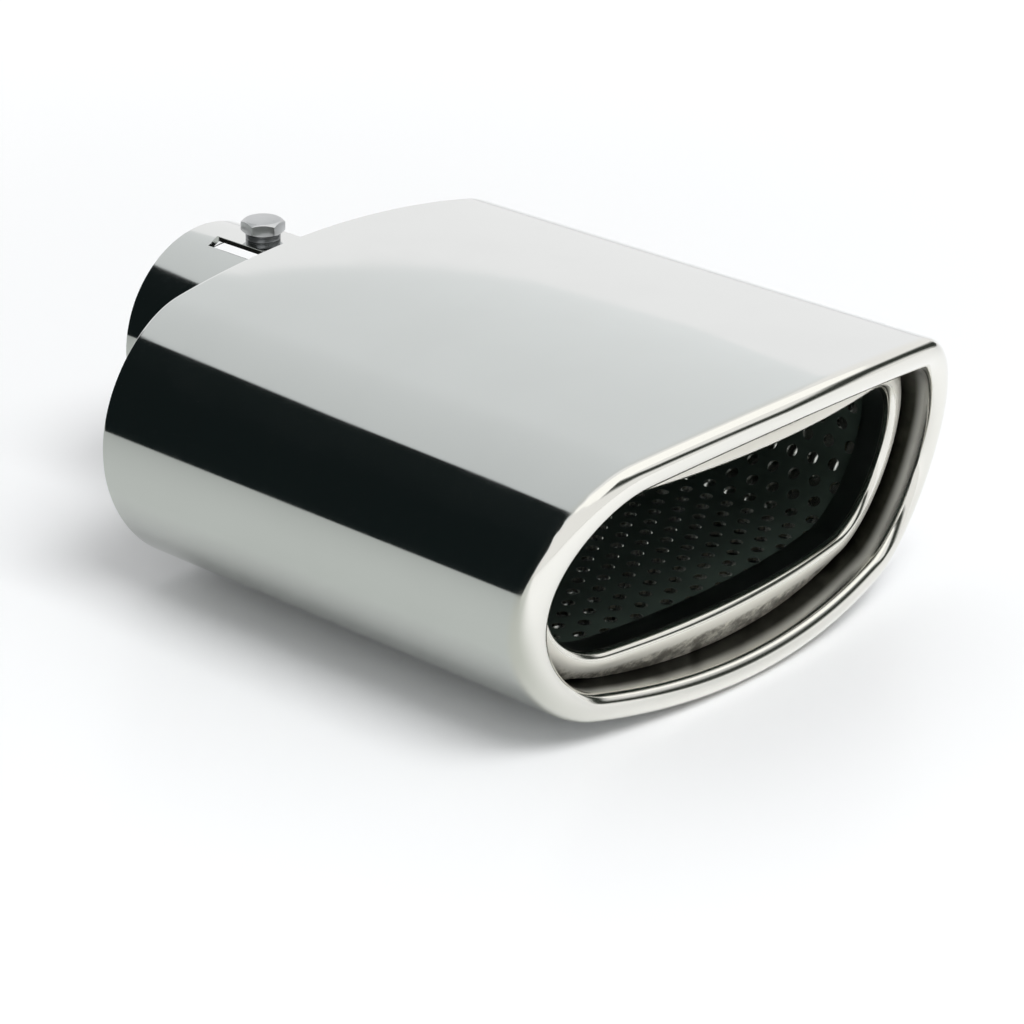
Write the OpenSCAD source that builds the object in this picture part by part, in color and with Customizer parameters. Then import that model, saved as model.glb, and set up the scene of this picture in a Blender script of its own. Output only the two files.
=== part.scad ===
// Oval stainless exhaust tip with a rolled lip, a recessed inner ring and a clamp sleeve.
// Millimetres. X across the mouth, -Y out of the mouth, +Y towards the inlet, Z up.
// The tip rests on the bottom of its oval shell at Z = 0, and Y = 0 is halfway along it.

/* [Oval shell] */
// Width of the oval over its rounded sides
shell_w = 180; // [160:1:200]
// Height of the oval at its middle
shell_h = 90.5; // [84:0.5:100]
// How far top and bottom bulge above their shoulders
crown = 13; // [6:0.5:16]
// Width of each rounded side, from the widest point to the shoulder
side_w = 30; // [26:1:36]
// Roundness of the sides, 2 is an ellipse and more is squarer
side_n = 2.08; // [2:0.02:2.6]
// Length of the shell along its middle
shell_l = 173; // [150:1:210]
// Sheet thickness of the shell
shell_t = 1.5; // [1:0.1:2]

/* [Mouth] */
// Slant of the mouth in degrees, top edge forward
rake = 10.5; // [0:0.5:16]
// How far the ends of the mouth sweep back from its middle
bow = 15; // [2:0.5:22]
// Radius of the rolled front lip
lip_r = 4.5; // [3.5:0.1:5.5]
// Length of the leg behind the rolled lip
lip_leg = 18; // [12:0.5:24]

/* [Inner ring] */
// Width of the ring's face beside the opening, at the ends of the oval
face_side = 5.85; // [4:0.05:8]
// Width of the ring's face above and below the opening, at the middle
face_mid = 9.45; // [7:0.05:12]
// Depth of the ring's crest behind the front of the lip
ring_set = 11.6; // [8:0.1:15]
// Depth of the groove between lip and ring, behind the ring's crest
groove_d = 2; // [1:0.5:6]
// Radius of the ring's inner edge
ring_r = 3; // [2:0.1:4]
// Length of the ring's inner wall
ring_wall = 8; // [6:0.5:12]
// Sheet thickness of the ring
ring_t = 1.2; // [0.8:0.1:1.6]

/* [Perforated liner] */
// Gap between the liner and the ring's inner wall, at the ends of the slot
liner_gap = 0.8; // [0.2:0.1:2]
// Length of the liner along its middle
liner_l = 114; // [90:1:120]
// Sheet thickness of the liner
liner_t = 1; // [0.8:0.1:1.5]
// Diameter of each hole
hole_d = 3.8; // [2.5:0.1:4.5]
// Distance between the holes of a row
hole_p = 7.56; // [6.8:0.02:9]
// How far the liner laps over the ring's inner wall
liner_lap = 6; // [3:0.5:7]

/* [End plate] */
// Sheet thickness of the end plate
plate_t = 1.5; // [1.2:0.1:2]
// How far the plate sits inside the rear edge of the shell
plate_set = 4; // [3:0.5:8]
// Length of the plate's flange against the shell
plate_flange = 9; // [6:0.5:12]
// Radius of the bend between plate and flange
plate_bend = 4; // [3:0.5:6]
// Length of the neck round the sleeve
neck_l = 4; // [3:0.5:6]

/* [Inlet sleeve] */
// Bore of the inlet sleeve
sleeve_bore = 63; // [56:0.5:66]
// Wall of the inlet sleeve
sleeve_t = 1.5; // [1.2:0.1:2]
// Length of the sleeve behind the shell
sleeve_out = 53; // [48:1:70]
// Length of the sleeve inside the end plate
sleeve_in = 18; // [12:1:24]
// Radius of the weld bead between neck and sleeve
weld_r = 2; // [1.2:0.1:2.5]

/* [Clamp] */
// Distance of the bolt from the rear edge of the shell
clamp_y = 27.8; // [26:0.1:32]
// Length of the raised bridge
bridge_l = 26.6; // [24:0.1:30]
// Width of the raised bridge
bridge_w = 17; // [15:0.5:20]
// Height of the bridge above the sleeve
bridge_h = 1.75; // [1.6:0.05:3]
// Width of each slit beside the bridge
slit_w = 1.4; // [0.8:0.1:2]
// Turn of the clamp round the sleeve, in degrees
clamp_turn = 0; // [-15:1:15]
// Bolt thread diameter
bolt_d = 8; // [6:1:8]
// Width of the bolt head across its flats
head_af = 11.5; // [10:0.5:13]
// Height of the bolt head
head_h = 3.75; // [3:0.05:5.5]
// Bevel round the top face of the head
head_bevel = 0.5; // [0.2:0.1:1]
// Turn of the bolt head in degrees
head_turn = 16; // [0:0.5:60]
// Height of the nut's collar above the bridge
collar_h = 1.8; // [1.5:0.1:3]
// Gap under the bolt head
head_gap = 0.3; // [0.1:0.1:2]

/* [Hidden] */
$fn = 96;

// Clearance between pieces that slide into each other
clear = 0.15;
// A little extra for cutters, so that they pass through the faces they cut
cut = 1;
// Points on each rounded corner and along each flat of an oval
corner_n = 14;
flat_n = 12;
// Steps round each rolled edge
lip_n = 9;

axis_z = shell_h / 2;
sleeve_end_y = shell_l + sleeve_out;
// Foremost point of the lip, at the top of the slanted mouth, and the middle of the length
front_y = lip_r - (axis_z - lip_r) * tan(rake) - lip_r / cos(rake);
mid_y = (front_y + sleeve_end_y) / 2;
half_w = shell_w / 2;
shoulder_h = shell_h / 2 - crown;
// Radius of the arc that gives the mouth its sweep
bow_r = (half_w * half_w + bow * bow) / (2 * bow);
// Width and height of the opening in the inner ring
face_in = 2 * lip_r + clear + ring_r;
open_w = shell_w - 2 * (face_in + face_side);
open_h = shell_h - 2 * (face_in + face_mid);

// One upper half of an oval: right side, shoulder, top, shoulder, left side
function corner_pt(a, b, e, n, i) =
    let (p = 2 / n, f = 90 * i / corner_n)
    [a - e + e * pow(max(cos(f), 0), p), b * pow(max(sin(f), 0), p)];
function upper_half(a, b, e, n) = concat(
    [for (i = [0:corner_n]) corner_pt(a, b, e, n, i)],
    [for (i = [1:flat_n - 1]) [(a - e) * (1 - 2 * i / flat_n), b]],
    [for (i = [corner_n:-1:0]) let (c = corner_pt(a, b, e, n, i)) [-c[0], c[1]]]);
function crowned(pts, a, b, c) = [for (p = pts) [p[0], p[1] + c * (1 - pow(p[0] / a, 2)) * p[1] / b]];
function drop_last(v) = [for (i = [0:len(v) - 2]) v[i]];
// The whole oval: half-width a, shoulder height b, side width e, squareness n, crown c
function oval(a, b, e, n, c) =
    let (u = drop_last(crowned(upper_half(a, b, e, n), a, b, c)))
    concat(u, [for (p = u) [-p[0], -p[1]]]);

// Outward normals of a closed outline, and the outline moved in by d
function unit(v) = v / norm(v);
function normals(pts) = let (m = len(pts)) [for (i = [0:m - 1])
    let (t = unit(pts[(i + 1) % m] - pts[(i + m - 1) % m])) [t[1], -t[0]]];
function inset(pts, nrm, d) = [for (i = [0:len(pts) - 1]) pts[i] - d * nrm[i]];
function mix(a, b, s) = [for (i = [0:len(a) - 1]) (1 - s) * a[i] + s * b[i]];

// The mouth is slanted and swept: how far back it lies at a point of the section
function mouth_y(p) = -p[1] * tan(rake) + bow_r - sqrt(bow_r * bow_r - p[0] * p[0]);
function at_mouth(pts, h) = [for (p = pts) [p[0], mouth_y(p) + h, p[1]]];
function at_y(pts, y) = [for (p = pts) [p[0], y, p[1]]];

// Lengths along the tip count from the middle of the mouth, heights from the shell's axis
module on_axis() {
    translate([0, -mid_y, axis_z]) children();
}
// A closed wall through a list of rings of equal length; the last ring joins the first
module ring_wall_solid(rings) {
    m = len(rings[0]);
    k = len(rings);
    polyhedron(
        points = [for (r = rings) each r],
        faces = [for (i = [0:k - 1], j = [0:m - 1])
            let (a = i * m + j, b = i * m + (j + 1) % m,
                 c = ((i + 1) % k) * m + (j + 1) % m, d = ((i + 1) % k) * m + j)
            each [[a, c, b], [a, d, c]]],
        convexity = 8);
}

shell_pts = oval(half_w, shoulder_h, side_w, side_n, crown);
shell_nrm = normals(shell_pts);
// Opening of the inner ring, a slot with half-round ends
open_pts = oval(open_w / 2, open_h / 2, open_h / 2, 2, 0);
open_nrm = normals(open_pts);

// Sheet shell: straight oval tube, its front edge rolled inward to a leg
function lip_ring(r, f) =
    at_mouth(inset(shell_pts, shell_nrm, lip_r - r * cos(f)), lip_r - r * sin(f));
module outer_shell() {
    inner_r = lip_r - shell_t;
    leg_y = lip_r + lip_leg;
    color("gainsboro") on_axis() ring_wall_solid(concat(
        [at_y(shell_pts, shell_l)],
        [for (i = [0:lip_n]) lip_ring(lip_r, 180 * i / lip_n)],
        [at_mouth(inset(shell_pts, shell_nrm, 2 * lip_r), leg_y)],
        [at_mouth(inset(shell_pts, shell_nrm, 2 * lip_r - shell_t), leg_y)],
        [for (i = [lip_n - 2:-1:1]) lip_ring(inner_r, 180 * i / (lip_n - 1))],
        [at_mouth(inset(shell_pts, shell_nrm, shell_t), lip_r)],
        [at_y(inset(shell_pts, shell_nrm, shell_t), shell_l)]));
}

// Inner ring: skirt inside the lip's leg, domed face, rounded inner edge, inner wall
ring_out = inset(shell_pts, shell_nrm, 2 * lip_r + clear);
ring_back = inset(shell_pts, shell_nrm, 2 * lip_r + clear + ring_t);
ring_front_y = ring_set + groove_d;
ring_edge_y = ring_set + ring_r;
wall_end_y = ring_edge_y + ring_wall;
skirt_end_y = lip_r + lip_leg;
function face_h(s) = ring_set + groove_d * pow(1 - s, 2);
function ring_face(s, back) =
    at_mouth(mix(ring_out, inset(open_pts, open_nrm, -ring_r), s), face_h(s) + back);
function ring_edge(r, f) =
    at_mouth(inset(open_pts, open_nrm, -ring_r + r * sin(f)), ring_edge_y - r * cos(f));
module inner_ring() {
    color("lightgray") on_axis() ring_wall_solid(concat(
        [at_mouth(ring_out, skirt_end_y)],
        [for (s = [0:0.2:1]) ring_face(s, 0)],
        [for (f = [22.5:22.5:90]) ring_edge(ring_r, f)],
        [at_mouth(open_pts, wall_end_y)],
        [at_mouth(inset(open_pts, open_nrm, -ring_t), wall_end_y)],
        [for (f = [90:-30:30]) ring_edge(ring_r - ring_t, f)],
        [for (s = [1:-0.25:0.25]) ring_face(s, ring_t)],
        [at_mouth(ring_back, ring_front_y + ring_t / 2)],
        [at_mouth(ring_back, skirt_end_y)]));
}

// Perforated liner: a tube of slot section round the ring's inner wall, cut parallel to the mouth
liner_h = open_h + 2 * (ring_t + clear + liner_t);
liner_w = open_w + 2 * (ring_t + liner_gap + liner_t);
liner_front_y = wall_end_y - liner_lap;
liner_mid_r = (liner_h - liner_t) / 2;
// Rows run along the liner, a whole number of them round each quarter of the slot
flat_half = (liner_w - liner_h) / 2;
quarter = flat_half + PI / 2 * liner_mid_r;
quarter_rows = round(quarter / (hole_p * cos(30)));
row_p = quarter / quarter_rows;
flat_rows = floor(flat_half / row_p);
end_rows = quarter_rows - flat_rows - 1;
end_step = row_p / liner_mid_r * 180 / PI;
hole_n = floor((liner_l + bow) / hole_p) + 1;
module slot_2d(w, h) {
    square([w - h, h], center = true);
    for (s = [-1, 1]) translate([s * (w - h) / 2, 0]) circle(d = h);
}
module along_y(y0, y1) {
    translate([0, y1, 0]) rotate([90, 0, 0]) linear_extrude(y1 - y0) children();
}
module mouth_cutter(h) {
    translate([0, h, 0]) rotate([rake, 0, 0]) translate([0, bow_r, 0])
        cylinder(r = bow_r, h = 2 * shell_h, center = true, $fn = 180);
}
module hole_column(i) {
    y = liner_front_y + i * hole_p;
    for (k = [-flat_rows:flat_rows])
        translate([k * row_p, y + (abs(k) % 2) * hole_p / 2, -liner_h])
            cylinder(d = hole_d, h = 2 * liner_h, $fn = 16);
    for (s = [-1, 1], k = [-end_rows:end_rows])
        translate([s * flat_half, y + ((quarter_rows - abs(k)) % 2) * hole_p / 2, 0])
            rotate([0, s * 90 + k * end_step, 0]) translate([0, 0, liner_mid_r - 2 * liner_t])
                cylinder(d = hole_d, h = 4 * liner_t, $fn = 16);
}
module perforated_liner() {
    color("dimgray") on_axis() difference() {
        intersection() {
            along_y(0, liner_front_y + liner_l) difference() {
                slot_2d(liner_w, liner_h);
                slot_2d(liner_w - 2 * liner_t, liner_h - 2 * liner_t);
            }
            mouth_cutter(liner_front_y);
        }
        for (i = [0:hole_n - 1]) hole_column(i);
    }
}

// End plate: pressed sheet with a flange in the shell and a neck round the sleeve
sleeve_r = sleeve_bore / 2 + sleeve_t;
plate_y = shell_l - plate_set;
function circle_pts(r) = let (
    q = [for (i = [0:corner_n]) 40 * i / corner_n],
    f = [for (i = [1:flat_n - 1]) 40 + 100 * i / flat_n],
    u = drop_last(concat(q, f, [for (i = [corner_n:-1:0]) 180 - 40 * i / corner_n])))
    [for (t = concat(u, [for (t = u) t + 180])) r * [cos(t), sin(t)]];
plate_gap = shell_t + clear;
function flange_ring(d, y) = at_y(inset(shell_pts, shell_nrm, plate_gap + d), y);
function bend_ring(r, f) =
    at_y(inset(shell_pts, shell_nrm, plate_gap + plate_bend - r * cos(f)),
         plate_y - plate_bend + r * sin(f));
module end_plate() {
    neck_r = sleeve_r + clear;
    neck_bend = plate_t + 1.5;
    outer_face = inset(shell_pts, shell_nrm, plate_gap + plate_bend);
    inner_face = circle_pts(neck_r + neck_bend);
    color("silver") on_axis() ring_wall_solid(concat(
        [flange_ring(0, plate_y - plate_flange)],
        [flange_ring(plate_t, plate_y - plate_flange)],
        [for (f = [0:22.5:90]) bend_ring(plate_bend - plate_t, f)],
        [at_y(mix(outer_face, inner_face, 0.5), plate_y - plate_t)],
        [for (f = [0:30:90]) at_y(circle_pts(neck_r + neck_bend * (1 - sin(f))),
            plate_y - plate_t + neck_bend * (1 - cos(f)))],
        [at_y(circle_pts(neck_r), plate_y + neck_l)],
        [at_y(circle_pts(neck_r + plate_t), plate_y + neck_l)],
        [for (f = [90:-30:0]) at_y(circle_pts(neck_r + neck_bend - (neck_bend - plate_t) * sin(f)),
            plate_y + (neck_bend - plate_t) * (1 - cos(f)))],
        [at_y(mix(outer_face, inner_face, 0.5), plate_y)],
        [for (f = [90:-22.5:0]) bend_ring(plate_bend, f)]));
}

// Inlet sleeve: round tube, lanced beside a strip that is pressed out as a flat bridge
bolt_y = shell_l + clamp_y;
bridge_top = sleeve_r + bridge_h;
// The ramps begin at the tube's surface beside the strip and run out just past the slits
ramp_over = 0.3;
bridge_foot = sqrt(sleeve_r * sleeve_r - bridge_w * bridge_w / 4) + ramp_over;
ramp_l = bridge_top - bridge_foot;
ramp_in = sleeve_t * norm([ramp_l, bridge_top - bridge_foot]) / (bridge_top - bridge_foot);
sleeve_l = sleeve_out + plate_set + sleeve_in;
module clamp_frame() {
    on_axis() translate([0, bolt_y, 0]) rotate([0, clamp_turn, 0]) children();
}
module along_sleeve(r, over) {
    on_axis() translate([0, sleeve_end_y + over, 0]) rotate([90, 0, 0])
        cylinder(r = r, h = sleeve_l + 2 * over);
}
// Side view of the bridge up to a top height, its ramps moved in by a distance
module bridge_prism(w, top, move) {
    function ramp_y(z) = bridge_l / 2 - move - (z - bridge_foot) * ramp_l / (bridge_top - bridge_foot);
    low = bridge_foot - 2 * sleeve_t;
    clamp_frame() translate([-w / 2, 0, 0]) rotate([90, 0, 90]) linear_extrude(w)
        polygon([[-ramp_y(low), low], [ramp_y(low), low], [ramp_y(top), top], [-ramp_y(top), top]]);
}
pilot_r = bolt_d / 2 + 0.6;
module inlet_sleeve() {
    color("gainsboro") difference() {
        union() {
            difference() {
                along_sleeve(sleeve_r, 0);
                along_sleeve(sleeve_bore / 2, cut);
                clamp_frame() translate([0, 0, sleeve_r])
                    cube([bridge_w + 2 * slit_w, bridge_l, sleeve_r], center = true);
            }
            difference() {
                bridge_prism(bridge_w, bridge_top, 0);
                bridge_prism(bridge_w + slit_w, bridge_top - sleeve_t, ramp_in);
                along_sleeve(sleeve_bore / 2, cut);
            }
        }
        clamp_frame() translate([0, 0, sleeve_r]) cylinder(r = pilot_r + clear / 2, h = bridge_h + cut);
    }
}

// Fillet bead in the corner between the neck's end and the sleeve
module sleeve_weld() {
    color("darkgray") on_axis() translate([0, plate_y + neck_l, 0]) rotate([-90, 0, 0]) rotate_extrude()
        intersection() {
            translate([sleeve_r, 0]) circle(r = weld_r, $fn = 32);
            translate([sleeve_r, 0]) square([2 * weld_r, 2 * weld_r]);
        }
}

// Weld nut: collar on the bridge, pilot through the strip
module clamp_nut() {
    collar_r = bolt_d / 2 + 1.2;
    color("slategray") clamp_frame() difference() {
        union() {
            translate([0, 0, bridge_top - sleeve_t]) cylinder(r = pilot_r, h = sleeve_t);
            translate([0, 0, bridge_top]) cylinder(r = collar_r, h = collar_h);
        }
        translate([0, 0, bridge_top - sleeve_t - cut])
            cylinder(d = bolt_d, h = sleeve_t + collar_h + 2 * cut);
    }
}

// Set bolt: hexagon head with a chamfered crown, short shank ending clear of the bore
module clamp_bolt() {
    head_z = bridge_top + collar_h + head_gap;
    tip_z = sleeve_bore / 2 + 0.4;
    shank_r = bolt_d / 2 - 0.06;
    corner_r = head_af / 2 / cos(30);
    color("darkgray") clamp_frame() {
        translate([0, 0, head_z]) intersection() {
            rotate([0, 0, head_turn]) cylinder(r = corner_r, h = head_h, $fn = 6);
            rotate_extrude() polygon([[0, 0], [head_af / 2, 0], [corner_r + cut, (corner_r + cut
                - head_af / 2) * tan(30)], [corner_r + cut, head_h - (corner_r + cut + head_bevel
                - head_af / 2) * tan(30)], [head_af / 2 - head_bevel, head_h], [0, head_h]]);
        }
        translate([0, 0, tip_z]) rotate_extrude() polygon([[0, 0], [shank_r - 0.8, 0], [shank_r, 0.8],
            [shank_r, head_z - tip_z + 0.2], [0, head_z - tip_z + 0.2]]);
    }
}

outer_shell();
inner_ring();
perforated_liner();
end_plate();
inlet_sleeve();
sleeve_weld();
clamp_nut();
clamp_bolt();
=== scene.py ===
"""Finishes, light and camera for an oval exhaust tip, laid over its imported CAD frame."""

import math

import bpy
from mathutils import Matrix, Vector


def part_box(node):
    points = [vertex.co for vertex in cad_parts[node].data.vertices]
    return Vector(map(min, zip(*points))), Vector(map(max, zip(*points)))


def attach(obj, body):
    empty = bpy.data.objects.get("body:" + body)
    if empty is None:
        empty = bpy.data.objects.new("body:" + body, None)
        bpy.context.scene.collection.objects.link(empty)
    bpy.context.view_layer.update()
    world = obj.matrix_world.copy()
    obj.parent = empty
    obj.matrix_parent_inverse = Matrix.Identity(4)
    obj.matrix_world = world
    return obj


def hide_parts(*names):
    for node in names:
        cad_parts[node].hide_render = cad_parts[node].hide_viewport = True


bl_info = {
    "name": "Oval exhaust tip",
    "version": (1, 0, 0),
    "blender": (4, 5, 0),
    "location": "3D View > Sidebar > Exhaust tip",
    "description": "Polished and satin finishes of an oval exhaust tip, with its studio",
    "category": "Object",
}

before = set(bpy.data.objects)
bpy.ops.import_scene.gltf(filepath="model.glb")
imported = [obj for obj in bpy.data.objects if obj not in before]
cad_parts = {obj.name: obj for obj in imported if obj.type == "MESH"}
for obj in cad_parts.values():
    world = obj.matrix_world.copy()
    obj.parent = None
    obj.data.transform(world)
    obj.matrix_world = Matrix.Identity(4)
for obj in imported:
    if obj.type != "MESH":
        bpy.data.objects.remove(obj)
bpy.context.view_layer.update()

# Metres in a millimetre; the lengths below are in millimetres unless they come from the frame
MM = 0.001
LOW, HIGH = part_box("outer_shell")
AXIS_Z = (LOW.z + HIGH.z) / 2
HALF_W = (HIGH.x - LOW.x) / 2 / MM
HALF_H = (HIGH.z - LOW.z) / 2 / MM
# Power of the plain oval that comes close to the shell's section
OVAL_POWER = 2.6
# Middle of the mouth, ahead of the shell's rear edge by the shell's length
SHELL_L = 173.0
MOUTH_Y = HIGH.y - SHELL_L * MM
# Slant and sweep of the mouth
RAKE = math.radians(10.5)
BOW = 15.0
BOW_R = (HALF_W ** 2 + BOW ** 2) / (2 * BOW)

# Depths behind the mouth where the lip's leg turns rough, its painted warm reflection ends and the
# painted shade behind the lip starts
LEG_START, LIP_END, GROOVE_START = 4.0, 5.0, 6.8
# The ring's opening is a slot of this half-width and end radius; its zones go by slot distance
OPENING_X, OPENING_R = 48.35, 23.65
CREST_END, STAIN_START = 25.7, 29.3
RING_WALL_DEPTH = 15.0
# The liner's bore is a slot of this half-width and end radius
LINER_X, LINER_R = 49.0, 25.0

SLEEVE_R = 33.0
SLEEVE_WALL = 1.5
# Where the sheared edges in the slits beside the bridge get painted shade: across, along and
# upward
SLIT_X, SLIT_Y, SLIT_Z = (8.3, 9.97), (185.6, 210.9), (29.0, 34.6)

# Vertices closer than this are merged; edges sharper than these angles stay crisp or are broken
MERGE = 0.002
CREASE_ANGLE = 50
EDGE_ANGLE = 60
# Side edges longer than this are split near the ends of the shell
LONG_EDGE = 2.5

# Painted shade for the recess behind the rolled lip, darker and paler in patches
SOOT, PALE_SOOT = (0.015, 0.017, 0.014), (0.06, 0.06, 0.05)
# Painted shade for the bore of the sleeve and the slits beside its bridge
INNER_SOOT = (0.012, 0.012, 0.011)
RING_SATIN = (0.82, 0.80, 0.72)
DARK_STAIN, PALE_STAIN = (0.24, 0.225, 0.19), (0.88, 0.85, 0.74)
# Painted shade for the inside of the ring's opening
RING_WALL = (0.11, 0.125, 0.115)
WHITE = (1.0, 1.0, 1.0, 1.0)


# Material maths

class Value:
    """A socket of a node tree that takes part in Python expressions."""

    def __init__(self, tree, socket):
        self.tree, self.socket = tree, socket

    def math(self, operation, a, b):
        return self.tree.node("ShaderNodeMath", {"operation": operation}, {0: a, 1: b})

    def __add__(self, other):
        return self.math("ADD", self, other)

    def __sub__(self, other):
        return self.math("SUBTRACT", self, other)

    def __mul__(self, other):
        return self.math("MULTIPLY", self, other)

    def __rsub__(self, other):
        return self.math("SUBTRACT", other, self)

    def __pow__(self, other):
        return self.math("POWER", self, other)

    __radd__ = __add__
    __rmul__ = __mul__

    def __abs__(self):
        return self.math("ABSOLUTE", self, 0.0)

    def at_least(self, other):
        return self.math("MAXIMUM", self, other)

    def above(self, edge, width):
        """0 below the edge and 1 above it, with a soft step of this width."""
        return self.tree.node(
            "ShaderNodeMapRange", {"clamp": True, "interpolation_type": "SMOOTHSTEP"},
            {"Value": self, "From Min": edge - width / 2, "From Max": edge + width / 2})


class Tree:
    """The node tree of a material or a world, with a short way to add nodes."""

    def __init__(self, owner):
        owner.use_nodes = True
        self.nodes, self.links = owner.node_tree.nodes, owner.node_tree.links
        self.place = None

    def put(self, socket, value):
        if isinstance(value, Value):
            self.links.new(value.socket, socket)
        else:
            socket.default_value = value

    def node(self, kind, settings=None, inputs=None, output=0):
        node = self.nodes.new(kind)
        for key, value in (settings or {}).items():
            setattr(node, key, value)
        for key, value in (inputs or {}).items():
            self.put(node.inputs[key], value)
        return Value(self, node.outputs[output])

    def mix(self, factor, low, high):
        """A colour between two others, which are links or three numbers each."""
        ends = [color if isinstance(color, Value) else (*color, 1.0) for color in (low, high)]
        return self.node("ShaderNodeMix", {"data_type": "RGBA"},
                         {"Factor": factor, 6: ends[0], 7: ends[1]}, output=2)

    def position(self):
        if self.place is None:
            self.place = self.node("ShaderNodeTexCoord", output="Object")
        return self.place

    def axis(self, name):
        return self.node("ShaderNodeSeparateXYZ", None, {"Vector": self.position()}, output=name)


class Shader(Tree):
    """A material with a Principled surface, and masks that follow the part's shape."""

    def __init__(self, name, color, roughness, metallic=1.0):
        self.material = bpy.data.materials.new(name)
        super().__init__(self.material)
        self.surface = self.nodes["Principled BSDF"]
        self.set("Base Color", (*color, 1.0))
        self.set("Metallic", metallic)
        self.set("Roughness", roughness)

    def set(self, socket, value):
        self.put(self.surface.inputs[socket], value)

    def millimetres(self):
        """Place on the part in millimetres from the middle of the mouth."""
        return (self.axis("X") * (1 / MM), (self.axis("Y") - MOUTH_Y) * (1 / MM),
                (self.axis("Z") - AXIS_Z) * (1 / MM))

    def mouth_depth(self):
        """How far a point lies behind the slanted and swept mouth."""
        x, y, z = self.millimetres()
        return y + z * math.tan(RAKE) - BOW_R + (BOW_R ** 2 - x * x) ** 0.5

    def slot_distance(self, half_width):
        """Distance from the middle line of a slot of this half-width between its round ends."""
        x, _, z = self.millimetres()
        over = (abs(x) - half_width).at_least(0.0)
        return (over * over + z * z) ** 0.5

    def oval_distance(self):
        """About 1 on the outside of the shell and less towards its middle."""
        x, _, z = self.millimetres()
        across, upward = abs(x) * (1 / HALF_W), abs(z) * (1 / HALF_H)
        return (across ** OVAL_POWER + upward ** OVAL_POWER) ** (1 / OVAL_POWER)

    def noise(self, scale, detail=2.0, stretch=(1.0, 1.0, 1.0), roughness=0.5):
        place = self.node("ShaderNodeMapping", None, {"Vector": self.position(), "Scale": stretch})
        return self.node("ShaderNodeTexNoise", None, {
            "Vector": place, "Scale": scale, "Detail": detail, "Roughness": roughness})

    def bump(self, height, distance, strength=1.0):
        """Relief of this height in millimetres."""
        self.set("Normal", self.node("ShaderNodeBump", None, {
            "Height": height, "Distance": distance * MM, "Strength": strength}))


def scaled(color, factor):
    return tuple(channel * factor for channel in color)


def polished(steel, color, roughness, ripple):
    """Mirror polish with faint haze and a slow ripple; gives back its colour and roughness."""
    haze = steel.noise(38.0, 3.0).above(0.55, 0.35)
    fine = steel.noise(900.0, 2.0, stretch=(1.0, 0.06, 1.0))
    steel.bump(steel.noise(26.0, 1.0), ripple)
    return (steel.mix(haze * 0.5, color, scaled(color, 0.97)),
            roughness + haze * 0.02 + fine * 0.02)


def shell_steel(color, lip_color, roughness, ripple):
    """Polished shell: a warm painted reflection over the rolled lip, and painted shade on the
    lip's leg deep in the recess behind it.
    """
    steel = Shader("Polished shell", color, roughness)
    tone, rough = polished(steel, color, roughness, ripple)
    depth = steel.mouth_depth()
    inside = 1 - steel.oval_distance().above(0.945, 0.03)
    # Painted shade where the lip's leg lies deep behind the mouth and the lip shades it
    groove = inside * depth.above(GROOVE_START, 4.5)
    lip = 1 - depth.above(LIP_END, 3.0)
    # Painted reflection: a warm tint on the rolled lip for the warm room it mirrors
    tone = steel.mix(lip, tone, lip_color)
    soot = steel.mix(steel.noise(260.0, 4.0), SOOT, PALE_SOOT)
    steel.set("Base Color", steel.mix(groove, tone, soot))
    steel.set("Roughness", rough + lip * 0.05 + inside * depth.above(LEG_START, 1.5) * 0.25)
    return steel.material


def ring_steel(color, roughness, ripple):
    """Inner ring: bright crest, stained outer face, and dark satin with painted shade inside its
    opening.
    """
    steel = Shader("Polished ring", color, roughness)
    tone, rough = polished(steel, color, roughness, ripple)
    around, depth = steel.slot_distance(OPENING_X), steel.mouth_depth()
    satin, stain = around.above(CREST_END, 1.6), around.above(STAIN_START, 1.6)
    # Painted shade deep inside the opening, where the tube is dark
    wall = (1 - around.above(OPENING_R + 0.4, 0.5)) * depth.above(RING_WALL_DEPTH, 0.8)
    spots = steel.noise(190.0, 5.0, stretch=(1.0, 1.0, 1.4), roughness=0.7)
    stained = steel.mix(spots.above(0.52, 0.3), DARK_STAIN, PALE_STAIN)
    tone = steel.mix(stain, steel.mix(satin, tone, RING_SATIN), stained)
    steel.set("Base Color", steel.mix(wall, tone, RING_WALL))
    steel.set("Metallic", 1 - satin * 0.65)
    steel.set("Roughness", rough + satin * 0.28 + wall * 0.25)
    return steel.material


def liner_steel(dark, cut, roughness):
    """Liner darkened with painted shade, and brighter bare metal on the punched edges of its
    holes.
    """
    steel = Shader("Satin liner", dark, roughness)
    punched = steel.slot_distance(LINER_X).above(LINER_R + 0.09, 0.08)
    # Painted shade: the sheet is coloured dark for the dark inside of the tip it mirrors
    tone = steel.mix(steel.noise(90.0, 4.0), dark, scaled(dark, 0.5))
    steel.set("Base Color", steel.mix(punched, tone, cut))
    steel.set("Metallic", 0.5 + punched * 0.5)
    steel.set("Roughness", roughness - punched * 0.10)
    return steel.material


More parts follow.
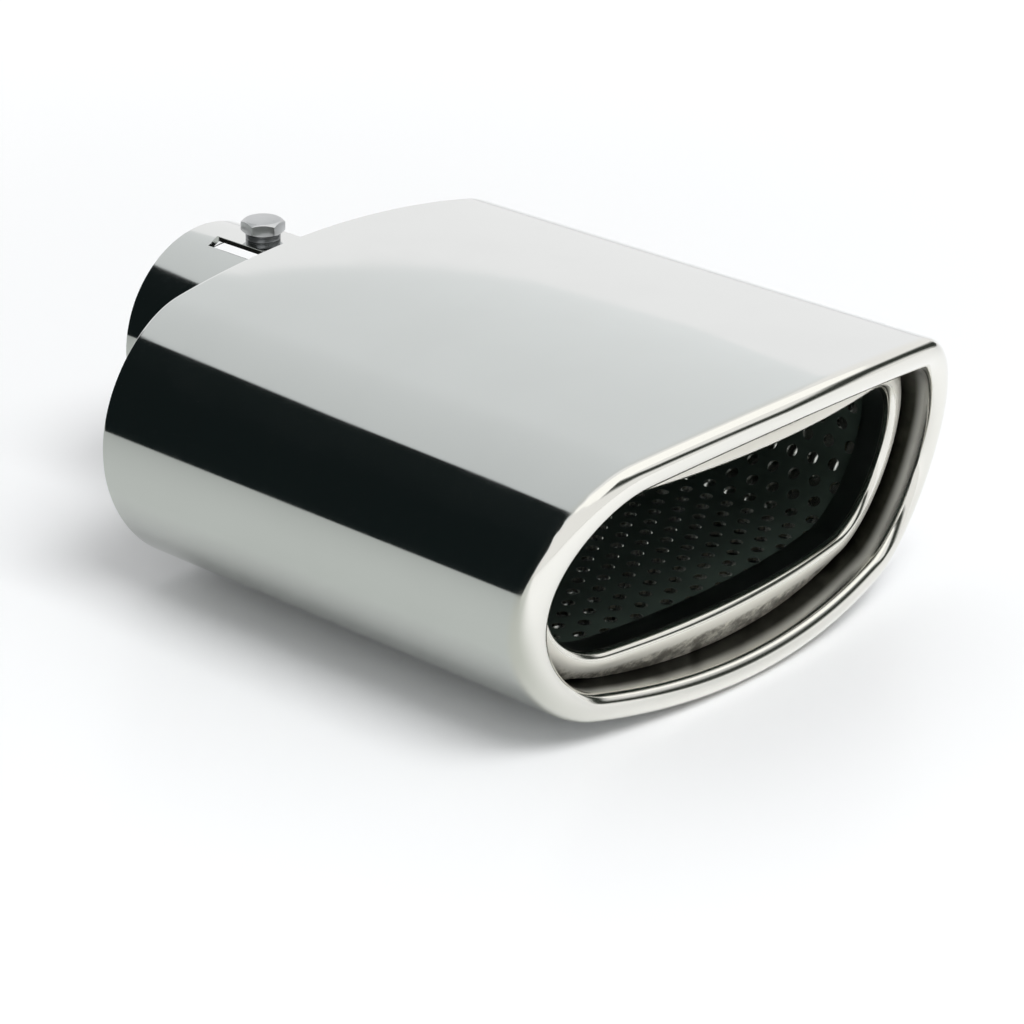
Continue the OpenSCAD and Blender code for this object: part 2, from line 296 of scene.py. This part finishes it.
def sleeve_steel(color, roughness, ripple):
    """Polished tube, with painted shade in its bore and on the sheared edges in the slits beside
    the bridge.
    """
    steel = Shader("Polished sleeve", color, roughness)
    tone, rough = polished(steel, color, roughness, ripple)
    x, y, z = steel.millimetres()
    bore = 1 - ((x * x + z * z) ** 0.5).above(SLEEVE_R - SLEEVE_WALL / 2, 0.8)
    slit = abs(x).above(SLIT_X[0], 0.1) * (1 - abs(x).above(SLIT_X[1], 0.06))
    slit = slit * y.above(SLIT_Y[0], 0.6) * (1 - y.above(SLIT_Y[1], 0.6))
    slit = slit * z.above(SLIT_Z[0], 1.0) * (1 - z.above(SLIT_Z[1], 0.16))
    # Painted shade in the bore and in the slits, which lie in shade
    sooty = bore.at_least(slit)
    soot = steel.mix(steel.noise(80.0, 4.0), INNER_SOOT, scaled(INNER_SOOT, 2.5))
    steel.set("Base Color", steel.mix(sooty, tone, soot))
    steel.set("Roughness", rough + sooty * 0.4)
    return steel.material


def satin_steel(name, color, dark, roughness, grain=(1.0, 1.0, 1.0)):
    """Brushed or pickled stainless: fine grain along the part and uneven tone."""
    steel = Shader(name, color, roughness)
    tone = steel.noise(60.0, 4.0)
    lines = steel.noise(1400.0, 2.0, stretch=grain)
    steel.set("Base Color", steel.mix(tone.above(0.5, 0.5), dark, color))
    steel.set("Roughness", roughness - 0.06 + tone * 0.08 + lines * 0.08)
    steel.bump(lines, 0.01, 0.6)
    return steel.material


def weld_steel(name):
    """Fused bead with straw and blue heat tint in patches."""
    steel = Shader(name, (0.42, 0.40, 0.37), 0.34)
    tint = steel.noise(160.0, 2.0).above(0.5, 0.4)
    steel.set("Base Color", steel.mix(tint, (0.30, 0.30, 0.34), (0.50, 0.44, 0.35)))
    steel.bump(steel.noise(700.0, 3.0), 0.04)
    return steel.material


# Mesh helpers

def only(piece=None):
    """Leaves just this object selected and active, or nothing selected."""
    if bpy.context.mode != "OBJECT":
        bpy.ops.object.mode_set(mode="OBJECT")
    bpy.ops.object.select_all(action="DESELECT")
    if piece:
        piece.select_set(True)
        bpy.context.view_layer.objects.active = piece


def edit(piece, select="SELECT"):
    """Goes into edit mode with all, none or, for an empty word, the same parts selected."""
    only(piece)
    bpy.ops.object.mode_set(mode="EDIT")
    if select:
        bpy.ops.mesh.select_all(action=select)


def leave_edit():
    bpy.ops.mesh.select_all(action="DESELECT")
    bpy.ops.object.mode_set(mode="OBJECT")


def merged_copy(node, name):
    """A new object with a copy of a CAD node's mesh, its double vertices merged."""
    piece = bpy.data.objects.new(name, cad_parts[node].data.copy())
    piece.data.name = name
    bpy.context.scene.collection.objects.link(piece)
    edit(piece)
    bpy.ops.mesh.customdata_custom_splitnormals_clear()
    bpy.ops.mesh.remove_doubles(threshold=MERGE * MM)
    leave_edit()
    return piece


def to_quads(piece):
    edit(piece)
    bpy.ops.mesh.tris_convert_to_quads(face_threshold=math.radians(40),
                                       shape_threshold=math.radians(120))
    leave_edit()


def crease_sharp(piece):
    edit(piece, "DESELECT")
    bpy.ops.mesh.select_mode(type="EDGE")
    bpy.ops.mesh.edges_select_sharp(sharpness=math.radians(CREASE_ANGLE))
    bpy.ops.transform.edge_crease(value=1.0)
    leave_edit()


def add_loops(piece, fronts, rears):
    """Splits a tube's long side faces near both ends, so that subdivision keeps them straight."""
    mesh = piece.data
    for at_front in [True] * fronts + [False] * rears:
        edit(piece, "DESELECT")
        bpy.ops.mesh.select_mode(type="EDGE")
        leave_edit()
        for index in end_edges(mesh, at_front):
            mesh.edges[index].select = True
        edit(piece, "")
        bpy.ops.mesh.subdivide(number_cuts=1)
        leave_edit()


def end_edges(mesh, at_front):
    """Of the long edges on each line along the tube, the one nearest the chosen end."""
    straight = 0.98
    best = {}
    for edge in mesh.edges:
        a, b = (mesh.vertices[i].co for i in edge.vertices)
        along = abs(a.y - b.y)
        if along > LONG_EDGE * MM and along > straight * (a - b).length:
            place = min(a.y, b.y) if at_front else -max(a.y, b.y)
            line = (round(a.x / MM, 1), round(a.z / MM, 1))
            if line not in best or place < best[line][0]:
                best[line] = (place, edge.index)
    return [index for _, index in best.values()]


def modify(piece, kind, **settings):
    only(piece)
    modifier = piece.modifiers.new(kind.title(), kind)
    for key, value in settings.items():
        setattr(modifier, key, value)
    bpy.ops.object.modifier_apply(modifier=modifier.name)


def soften(piece, width, angle=EDGE_ANGLE):
    modify(piece, "BEVEL", width=width * MM, segments=2, limit_method="ANGLE",
           angle_limit=math.radians(angle), use_clamp_overlap=True)


def smooth(piece):
    only(piece)
    bpy.ops.object.shade_smooth_by_angle(angle=math.radians(35))


def even_normals(piece):
    """Lets the large faces decide the shading beside the small bevels."""
    modify(piece, "WEIGHTED_NORMAL", mode="FACE_AREA", weight=90, keep_sharp=True)


def rounded_copy(node, name, levels, edge, fronts=0, rears=0):
    """A subdivided copy of a curved sheet piece, its sheet edges kept and then broken."""
    piece = merged_copy(node, name)
    to_quads(piece)
    add_loops(piece, fronts, rears)
    crease_sharp(piece)
    modify(piece, "SUBSURF", levels=levels, render_levels=levels)
    soften(piece, edge)
    smooth(piece)
    return piece


def finish_piece(piece, material, node):
    piece.data.materials.clear()
    piece.data.materials.append(material)
    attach(piece, "root")
    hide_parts(node)


def dress_node(node, material):
    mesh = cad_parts[node].data
    mesh.materials.clear()
    mesh.materials.append(material)


# Settings

class TipFinish(bpy.types.PropertyGroup):
    shell_color: bpy.props.FloatVectorProperty(
        name="Shell colour", description="Colour of the polished shell and sleeve",
        subtype="COLOR", size=3, min=0, max=1, default=(0.86, 0.87, 0.86))
    ring_color: bpy.props.FloatVectorProperty(
        name="Ring colour", description="Colour of the polished inner ring",
        subtype="COLOR", size=3, min=0, max=1, default=(0.85, 0.84, 0.78))
    # The lip's warm tint is a painted reflection of a warm room
    lip_color: bpy.props.FloatVectorProperty(
        name="Lip reflection tint", description="Colour of the rolled lip, a little warmer than the shell",
        subtype="COLOR", size=3, min=0, max=1, default=(0.85, 0.84, 0.79))
    # The liner's dark colour is painted shade
    liner_color: bpy.props.FloatVectorProperty(
        name="Liner colour", description="Colour of the sooty liner",
        subtype="COLOR", size=3, min=0, max=1, default=(0.11, 0.15, 0.125))
    cut_color: bpy.props.FloatVectorProperty(
        name="Punched edge colour", description="Colour of the bare metal round each hole",
        subtype="COLOR", size=3, min=0, max=1, default=(0.93, 0.95, 0.90))
    polish: bpy.props.FloatProperty(
        name="Polish haze", description="Roughness of the polished faces",
        default=0.05, min=0, max=0.6)
    ripple: bpy.props.FloatProperty(
        name="Ripple", description="Height of the slow polishing ripple, in millimetres",
        default=0.01, min=0, max=0.2)
    edge: bpy.props.FloatProperty(
        name="Edge softness", description="Width of the broken sheet edges, in millimetres",
        default=0.25, min=0.05, max=0.6)


class TipStudio(bpy.types.PropertyGroup):
    floor_color: bpy.props.FloatVectorProperty(
        name="Floor colour", description="Colour of the table",
        subtype="COLOR", size=3, min=0, max=1, default=(0.93, 0.94, 0.95))
    key_power: bpy.props.FloatProperty(
        name="Key light", description="Power of the large soft light in front and overhead",
        unit="POWER", default=48.0, min=0, max=200)
    fill: bpy.props.FloatProperty(
        name="Fill", description="Level of the even light from all sides",
        default=0.62, min=0, max=2)
    mirrored: bpy.props.FloatProperty(
        name="Mirrored room", description="Level of the white room in reflections",
        default=0.89, min=0, max=2)
    lens: bpy.props.FloatProperty(
        name="Lens", description="Focal length on a 36 mm wide sensor",
        unit="CAMERA", default=123.047)


# Pieces

class EXTIP_OT_shell(bpy.types.Operator):
    """Smooth, polished outer shell with its rolled lip"""
    bl_idname = "extip.shell"
    bl_label = "Outer shell"

    def execute(self, context):
        look = context.scene.tip_finish
        shell = rounded_copy("outer_shell", "shell_polished", 2, look.edge, fronts=6, rears=5)
        even_normals(shell)
        steel = shell_steel(tuple(look.shell_color), tuple(look.lip_color), look.polish,
                            look.ripple)
        finish_piece(shell, steel, "outer_shell")
        return {"FINISHED"}


class EXTIP_OT_ring(bpy.types.Operator):
    """Smooth, polished ring set back inside the lip"""
    bl_idname = "extip.ring"
    bl_label = "Inner ring"

    def execute(self, context):
        look = context.scene.tip_finish
        ring = rounded_copy("inner_ring", "ring_polished", 2, look.edge)
        steel = ring_steel(tuple(look.ring_color), look.polish + 0.06, look.ripple * 3)
        finish_piece(ring, steel, "inner_ring")
        return {"FINISHED"}


class EXTIP_OT_liner(bpy.types.Operator):
    """Perforated liner with bare metal in its punched holes"""
    bl_idname = "extip.liner"
    bl_label = "Perforated liner"

    def execute(self, context):
        look = context.scene.tip_finish
        liner = merged_copy("perforated_liner", "liner_punched")
        smooth(liner)
        steel = liner_steel(tuple(look.liner_color), tuple(look.cut_color), 0.32)
        finish_piece(liner, steel, "perforated_liner")
        return {"FINISHED"}


class EXTIP_OT_rear(bpy.types.Operator):
    """End plate, inlet sleeve and the weld between them"""
    bl_idname = "extip.rear"
    bl_label = "Rear"

    def execute(self, context):
        look = context.scene.tip_finish
        plate = rounded_copy("end_plate", "plate_pressed", 1, look.edge)
        satin = satin_steel("Satin plate", (0.62, 0.63, 0.62), (0.50, 0.51, 0.50), 0.26,
                            grain=(0.05, 1.0, 1.0))
        finish_piece(plate, satin, "end_plate")
        sleeve = merged_copy("inlet_sleeve", "sleeve_tube")
        soften(sleeve, look.edge * 0.8, angle=40)
        smooth(sleeve)
        even_normals(sleeve)
        tube = sleeve_steel(tuple(look.shell_color), look.polish, look.ripple)
        finish_piece(sleeve, tube, "inlet_sleeve")
        dress_node("sleeve_weld", weld_steel("Weld bead"))
        return {"FINISHED"}


class EXTIP_OT_clamp(bpy.types.Operator):
    """Weld nut and hexagon bolt on the sleeve's bridge"""
    bl_idname = "extip.clamp"
    bl_label = "Clamp bolt"

    def execute(self, context):
        look = context.scene.tip_finish
        bolt = merged_copy("clamp_bolt", "bolt_hexagon")
        soften(bolt, look.edge * 0.6, angle=25)
        smooth(bolt)
        zinc = satin_steel("Bolt steel", (0.70, 0.71, 0.72), (0.56, 0.57, 0.58), 0.28)
        finish_piece(bolt, zinc, "clamp_bolt")
        nut = merged_copy("clamp_nut", "nut_collar")
        soften(nut, look.edge, angle=40)
        smooth(nut)
        # Painted shade: the nut is coloured dark for the shadow and the reflected underside of the
        # bolt head
        dark = satin_steel("Nut steel", (0.30, 0.31, 0.32), (0.20, 0.21, 0.22), 0.35)
        finish_piece(nut, dark, "clamp_nut")
        return {"FINISHED"}


# Studio

# Camera in millimetres from the scene's origin, and its turn, dip and roll in degrees
CAMERA_PLACE = (-686.532, -617.801, 425.135)
CAMERA_TURN, CAMERA_DIP, CAMERA_ROLL = 48.449, 23.723, 1.126

# The outlines below are in millimetres and start at this Y and Z of the scene
PANEL_Y, PANEL_Z = -109.2, 45.25
# Upright panel on the left, given by the Y and Z of its corners
DARK_PANEL_X = -350
DARK_PANEL = [(100, -46), (50, 30), (40, 110), (114, 207), (240, 360), (432, 463), (577, 517),
              (835, 665), (904, 730), (1110, 900), (1500, 1230), (1500, -46)]
# Ceilings, given by their height over the floor and the X and Y of their corners
GREY_CEILING_Z = 1345.0
GREY_CEILING = [(-2400, 700), (-2400, 1500), (-900, 1600), (1317, 1882), (1759, 2078),
                (2472, 2422), (2921, 2606), (3147, 2472), (2621, 1734), (1500, 900), (600, 800),
                (-300, 750)]
BRIGHT_CEILING_Z = 1450.0
BRIGHT_CEILING = [(-1300, -800), (2400, -800), (2400, 600), (-1300, 600)]
# Directions, turn and rise in degrees, along the strips that darken the lip
STRIP_LINE = [(-50, 50), (-20, 40), (0, 34), (22, 22), (40, 9), (56, 16), (66, 21), (78, 18),
              (90, 8), (106, -8)]
# Where those directions start, and each strip's distance in metres and spread in degrees
STRIP_CENTRE = Vector((0, MOUTH_Y, AXIS_Z + 0.04))
GREY_STRIP, DARK_STRIP = (0.95, 13.0), (0.90, 8.0)

TABLE_METRES = 24.0
KEY_PLACE_METRES = (-0.3, -1.4, 2.4)
KEY_SIZE_METRES = (1.7, 1.2)
KEY_AIM_METRES = (0, 0, 0.04)


def glow(name, color, far=None, start=0.0, end=1.0):
    """Glowing material; its tone may run along X, from start to end in metres, to a far colour."""
    material = bpy.data.materials.new(name)
    tree = Tree(material)
    tree.nodes.remove(tree.nodes["Principled BSDF"])
    tone = (*color, 1.0)
    if far:
        run = tree.node("ShaderNodeMapRange", None,
                        {"Value": tree.axis("X"), "From Min": start, "From Max": end})
        tone = tree.mix(run, color, far)
    light = tree.node("ShaderNodeEmission", None, {"Color": tone})
    tree.put(tree.nodes["Material Output"].inputs["Surface"], light)
    return material


def reflected_only(panel, name, material):
    """Names a panel of the studio, and hides it from all but reflections."""
    panel.name = name
    panel.data.materials.append(material)
    panel.visible_camera = False
    panel.visible_diffuse = False
    panel.visible_shadow = False
    panel.visible_transmission = False


def card(name, corners, material):
    """A flat many-sided panel, given by its corners in millimetres from the scene's origin."""
    only()
    bpy.ops.mesh.primitive_circle_add(vertices=len(corners), radius=1.0, fill_type="NGON")
    panel = bpy.context.active_object
    for vertex, corner in zip(panel.data.vertices, corners):
        vertex.co = Vector(corner) * MM
    reflected_only(panel, name, material)


def strip(name, distance, spread, material):
    """A curved panel round the mouth, this many metres away and degrees to each side."""
    only()
    bpy.ops.mesh.primitive_grid_add(x_subdivisions=len(STRIP_LINE) - 1, y_subdivisions=1)
    panel = bpy.context.active_object
    for i, vertex in enumerate(panel.data.vertices):
        row, column = divmod(i, len(STRIP_LINE))
        turn = math.radians(STRIP_LINE[column][0])
        rise = math.radians(STRIP_LINE[column][1] + (spread if row else -spread))
        ahead = Vector((math.sin(turn) * math.cos(rise), -math.cos(turn) * math.cos(rise),
                        math.sin(rise)))
        vertex.co = STRIP_CENTRE + ahead * distance
    reflected_only(panel, name, material)


class EXTIP_OT_studio(bpy.types.Operator):
    """White table, soft light, reflected panels and the camera"""
    bl_idname = "extip.studio"
    bl_label = "Studio"

    def execute(self, context):
        room = context.scene.tip_studio
        self.table(room)
        self.panels()
        self.light(room)
        self.world(context, room)
        self.camera(context, room)
        return {"FINISHED"}

    def table(self, room):
        only()
        bpy.ops.mesh.primitive_plane_add(size=TABLE_METRES, location=(0, 0, 0))
        table = bpy.context.active_object
        table.name = "table"
        table.data.materials.append(self.table_top(tuple(room.floor_color)))

    def table_top(self, color):
        """Pale table: a painted glow for camera rays makes it whiter far from the part, and
        painted shade makes it greyer where the shell's side reflects it.
        """
        top = Shader("Table", color, 0.35, metallic=0.0)
        top.set("Specular IOR Level", 0.3)
        mirrored = top.node("ShaderNodeLightPath", output="Is Glossy Ray")
        seen = top.node("ShaderNodeLightPath", output="Is Camera Ray")
        across, along = top.axis("X"), top.axis("Y")
        # Painted light: the table glows for camera rays away from the part
        away = ((across * across + along * along) ** 0.5).above(0.55, 0.7)
        top.set("Emission Color", top.mix(seen * away, (0.0, 0.0, 0.0), (0.2, 0.2, 0.2)))
        top.set("Emission Strength", 1.0)
        # Painted shade on the table, seen only in reflections, left of the tip and beside it
        left = 1 - across.above(-0.07, 0.08)
        beside = along.above(MOUTH_Y - 0.01, 0.06)
        top.set("Base Color", top.mix(mirrored * left * beside, color, (0.50, 0.525, 0.50)))
        return top.material

    def panels(self):
        # Dark panel on the left, reflected in the upper side of the shell
        card("dark_panel", [(DARK_PANEL_X, y + PANEL_Y, z + PANEL_Z) for y, z in DARK_PANEL],
             glow("Dark panel", (0.006, 0.009, 0.009)))
        # Grey ceiling behind the part, darker on the left, seen in the shell's top
        card("grey_ceiling", [(x, y + PANEL_Y, GREY_CEILING_Z) for x, y in GREY_CEILING],
             glow("Grey ceiling", (0.55, 0.57, 0.565), (0.80, 0.82, 0.82), -0.9, 2.9))
        # Bright ceiling over the mouth, reflected where the lip turns up
        card("bright_ceiling", [(x, y + PANEL_Y, BRIGHT_CEILING_Z) for x, y in BRIGHT_CEILING],
             glow("Bright ceiling", (1.14, 1.14, 1.12)))
        # A dark strip with a grey one behind it, reflected as the thin line along the lip
        strip("grey_strip", *GREY_STRIP, glow("Grey strip", (0.36, 0.37, 0.36)))
        strip("dark_strip", *DARK_STRIP, glow("Dark strip", (0.035, 0.04, 0.035)))

    def light(self, room):
        only()
        bpy.ops.object.light_add(type="AREA", location=KEY_PLACE_METRES)
        key = bpy.context.active_object
        key.name = "key_light"
        key.data.shape = "RECTANGLE"
        key.data.size, key.data.size_y = KEY_SIZE_METRES
        key.data.energy = room.key_power
        aim = Vector(KEY_AIM_METRES) - key.location
        key.rotation_euler = aim.to_track_quat("-Z", "Y").to_euler()
        key.visible_glossy = False

    def world(self, context, room):
        """White behind the part, and one level for the fill and another for reflections."""
        world = bpy.data.worlds.new("White room")
        tree = Tree(world)
        mirrored = tree.node("ShaderNodeLightPath", output="Is Glossy Ray")
        seen = tree.node("ShaderNodeLightPath", output="Is Camera Ray")
        unseen = tree.node("ShaderNodeMapRange", None,
                           {"Value": mirrored, "To Min": room.fill, "To Max": room.mirrored})
        level = tree.node("ShaderNodeMapRange", None,
                          {"Value": seen, "To Min": unseen, "To Max": 1.0})
        sky = tree.nodes["Background"]
        tree.put(sky.inputs["Color"], WHITE)
        tree.put(sky.inputs["Strength"], level)
        context.scene.world = world

    def camera(self, context, room):
        """Camera at the photograph's place, turned, dipped and rolled as it was."""
        turn, dip = math.radians(CAMERA_TURN), math.radians(CAMERA_DIP)
        roll = math.radians(CAMERA_ROLL)
        ahead = Vector((math.sin(turn) * math.cos(dip), math.cos(turn) * math.cos(dip),
                        -math.sin(dip)))
        level = Vector((math.cos(turn), -math.sin(turn), 0))
        upright = level.cross(ahead)
        right = math.cos(roll) * level + math.sin(roll) * upright
        up = math.cos(roll) * upright - math.sin(roll) * level
        only()
        bpy.ops.object.camera_add()
        eye = bpy.context.active_object
        eye.name = "photo_camera"
        eye.data.sensor_width = 36.0
        eye.data.sensor_fit = "HORIZONTAL"
        eye.data.lens = room.lens
        eye.data.clip_start, eye.data.clip_end = 0.05, 50.0
        facing = Matrix((right, up, -ahead)).transposed().to_4x4()
        eye.matrix_world = Matrix.Translation(Vector(CAMERA_PLACE) * MM) @ facing
        context.scene.camera = eye


class EXTIP_PT_panel(bpy.types.Panel):
    bl_idname = "EXTIP_PT_panel"
    bl_label = "Exhaust tip"
    bl_space_type = "VIEW_3D"
    bl_region_type = "UI"
    bl_category = "Exhaust tip"

    def draw(self, context):
        for group in (context.scene.tip_finish, context.scene.tip_studio):
            for key in group.bl_rna.properties.keys():
                if key not in {"rna_type", "name"}:
                    self.layout.prop(group, key)
        for operator in OPERATORS:
            self.layout.operator(operator.bl_idname)


OPERATORS = (EXTIP_OT_shell, EXTIP_OT_ring, EXTIP_OT_liner, EXTIP_OT_rear, EXTIP_OT_clamp,
             EXTIP_OT_studio)
CLASSES = (TipFinish, TipStudio, *OPERATORS, EXTIP_PT_panel)


def register():
    for item in CLASSES:
        bpy.utils.register_class(item)
    bpy.types.Scene.tip_finish = bpy.props.PointerProperty(type=TipFinish)
    bpy.types.Scene.tip_studio = bpy.props.PointerProperty(type=TipStudio)


def unregister():
    del bpy.types.Scene.tip_studio
    del bpy.types.Scene.tip_finish
    for item in reversed(CLASSES):
        bpy.utils.unregister_class(item)


def main():
    register()
    bpy.ops.extip.shell()
    bpy.ops.extip.ring()
    bpy.ops.extip.liner()
    bpy.ops.extip.rear()
    bpy.ops.extip.clamp()
    bpy.ops.extip.studio()
    bpy.context.scene.view_settings.view_transform = "Standard"


if __name__ == "__main__":
    main()
